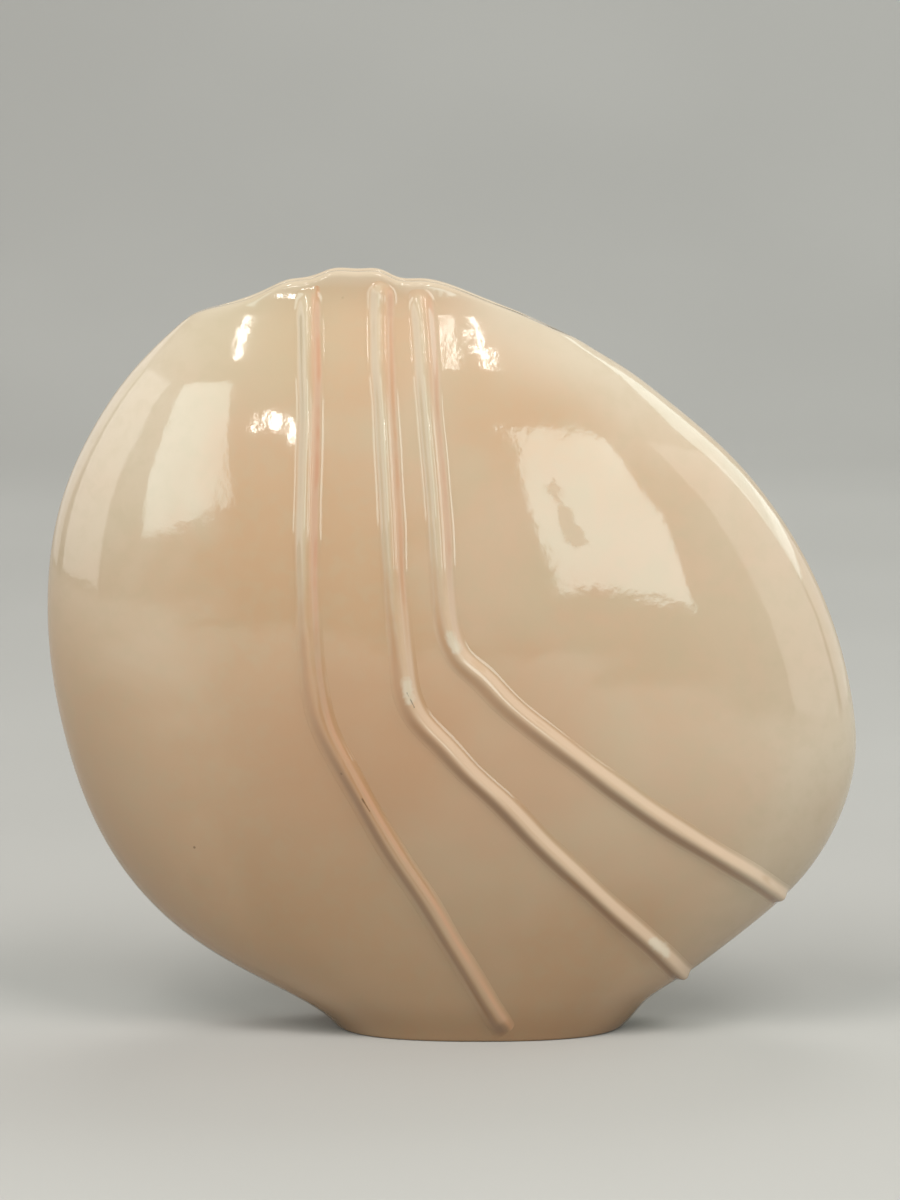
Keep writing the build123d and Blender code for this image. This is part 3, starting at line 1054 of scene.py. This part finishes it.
# %% [markdown]
# ## Floor and light
#
# The vase stands on a plain pale floor that sweeps up behind it. The light is a room's: a window
# to the right of the camera and one to the left, which the glaze mirrors as two bright panes, a
# doorway and four pale walls for the soft bands along the edges, two lamps for the bright marks
# beside the left coil, and thin lamps along the ceiling for the hooks and lines near the mouth.
# Most of the even light comes from three wide panels overhead, which reflections leave out. Each
# light is a flat panel, put where a ray from the camera goes after it bounces off the skin where
# the mark belongs.

# %% Floor
sweep_steps = 24
sweep_radius = 1.2
sweep_start = 1.6
floor_front = -4.0
wall_top = 4.5
floor_side = 5.0


def make_floor_sweep():
    """A floor that curves up into a back wall: flat, then a quarter circle, then straight up."""
    angle = np.linspace(0, math.pi / 2, sweep_steps)
    back = sweep_start + sweep_radius
    y = np.concatenate(([floor_front], sweep_start + sweep_radius * np.sin(angle), [back]))
    z = np.concatenate(([0.0], sweep_radius * (1 - np.cos(angle)), [wall_top]))
    x = np.linspace(-floor_side, floor_side, 3)[:, None]
    grid = np.stack(np.broadcast_arrays(x, y, z), axis=-1)
    index = np.arange(grid.shape[0] * grid.shape[1]).reshape(grid.shape[:2])
    mesh = bpy.data.meshes.new("studio_floor")
    mesh.from_pydata(grid.reshape(-1, 3).tolist(), [], grid_faces(index)[:, ::-1].tolist())
    mesh.polygons.foreach_set("use_smooth", np.ones(len(mesh.polygons), dtype=bool))
    floor = add_object("studio_floor", mesh)
    paint = Paint("studio_paper")
    cloudy = paint.fade(paint.noise(0.5), 0.3, 0.7)
    tone = paint.blend(cloudy, colour(184, 183, 180), colour(190, 189, 186))
    mesh.materials.append(paint.finish({"Base Color": tone, "Roughness": 0.8}))
    return floor


studio_floor = make_floor_sweep()


# %% Lights
vase_middle = (-0.01, 0.0, 0.16)
shoulder = (-0.03, 0.0, 0.2)
daylight = (0.82, 1.0, 0.96)
lamplight = (1.0, 0.95, 0.88)
softlight = (1.0, 0.975, 0.94)
lamp_radiance = 20.0
lamp_distance = 2.9
tube_height = 2.24


def add_panel(name, centre, width, tall, radiance, tint, aim=vase_middle):
    """A flat panel that faces a point, with its side edges upright. A panel of area A that gives
    off an even radiance L has a power of pi L A."""
    data = bpy.data.lights.new(name, "AREA")
    data.shape = "RECTANGLE"
    data.size = width
    data.size_y = tall
    data.energy = math.pi * radiance * width * tall
    data.color = tint
    panel = add_object(name, data)
    way = np.array(aim) - np.array(centre)
    turn = math.atan2(-way[0], way[1])
    tip = math.atan2(way[2], math.hypot(way[0], way[1]))
    panel.location = centre
    panel.rotation_euler = (math.pi / 2 + tip, 0, turn)
    panel.visible_camera = False
    return panel


def add_tube(name, start, end, width):
    """A thin lamp along the ceiling from start to end, shining down."""
    (x0, y0), (x1, y1) = start, end
    centre = ((x0 + x1) / 2, (y0 + y1) / 2, tube_height)
    length = math.hypot(x1 - x0, y1 - y0)
    panel = add_panel(name, centre, length, width, lamp_radiance, lamplight)
    panel.rotation_euler = (0, 0, math.atan2(y1 - y0, x1 - x0))


def ray_end(azimuth, elevation):
    """A lamp's place as seen from the shoulder, by its angles from straight in front."""
    a, e = math.radians(azimuth), math.radians(elevation)
    return (shoulder[0] + lamp_distance * math.sin(a) * math.cos(e),
            shoulder[1] - lamp_distance * math.cos(a) * math.cos(e),
            shoulder[2] + lamp_distance * math.sin(e))


# %% Windows and lamps
window_roll = 7

# The left window is rolled a little, so that its mirrored side stands straight
add_panel("window_right", (0.70, -2.28, 0.95), 1.18, 1.15, 2.5, daylight, (-0.198, -1.84, 0.95))
window_left = add_panel("window_left", (-1.50, -2.50, 1.46), 0.98, 1.84, 2.2, daylight,
                        (-0.01, 0.0, 1.46))
window_left.rotation_euler.rotate_axis("Z", math.radians(window_roll))

# Lamps: name, azimuth, elevation, width and height
lamps = (("lamp_left_wide", -13.4, 23, 0.06, 0.20), ("lamp_left_tall", -10.2, 21.5, 0.06, 0.30))
for name, azimuth, elevation, width, tall in lamps:
    add_panel(name, ray_end(azimuth, elevation), width, tall, lamp_radiance, lamplight)

# Ceiling tubes: name, start, end and width
tubes = (
    ("tube_left", (-0.84, -1.70), (-0.62, -0.50), 0.045),
    ("tube_right", (0.46, -1.66), (0.41, -0.50), 0.03),
    ("tube_cross", (0.44, -1.25), (0.30, -1.27), 0.022),
    ("tube_middle", (0.22, -1.80), (0.16, -0.50), 0.012),
)
for tube in tubes:
    add_tube(*tube)

# %% Walls and the light from above
# Pale walls and a doorway, wide and faint: name, place, width, height, radiance and tint
walls = (
    ("wall_right", (2.60, -0.70, 1.10), 2.40, 2.40, 0.7, softlight),
    ("wall_left", (-2.60, -0.60, 1.10), 2.20, 2.20, 1.1, softlight),
    ("wall_behind_left", (-2.00, 1.60, 0.95), 1.80, 1.90, 0.8, softlight),
    ("wall_behind_right", (2.10, 1.30, 0.60), 1.60, 1.20, 0.8, softlight),
    ("doorway", (2.25, 1.19, 1.75), 1.90, 1.70, 1.8, daylight),
)
for panel in walls:
    add_panel(*panel)

# The even light from above, kept out of reflections: name, x, y and radiance
sky_height, sky_width, sky_tall = 2.4, 1.4, 1.2
skies = (("sky_left", -0.95, -1.25, 5.2), ("sky_right", 1.05, -1.25, 6.2),
         ("sky_back", 0.10, 1.70, 3.5))
for name, x, y, radiance in skies:
    sky = add_panel(name, (x, y, sky_height), sky_width, sky_tall, radiance, softlight)
    sky.visible_glossy = False

# %% The room's own faint glow
room_glow, room_tint = 0.05, (1.0, 0.96, 0.90, 1.0)
world = bpy.data.worlds.new("room")
world.use_nodes = True
room = world.node_tree.nodes["Background"]
room.inputs["Color"].default_value = room_tint
room.inputs["Strength"].default_value = room_glow
bpy.context.scene.world = world
bpy.context.scene.view_settings.view_transform = "Standard"
print(len(bpy.data.lights), "lights")
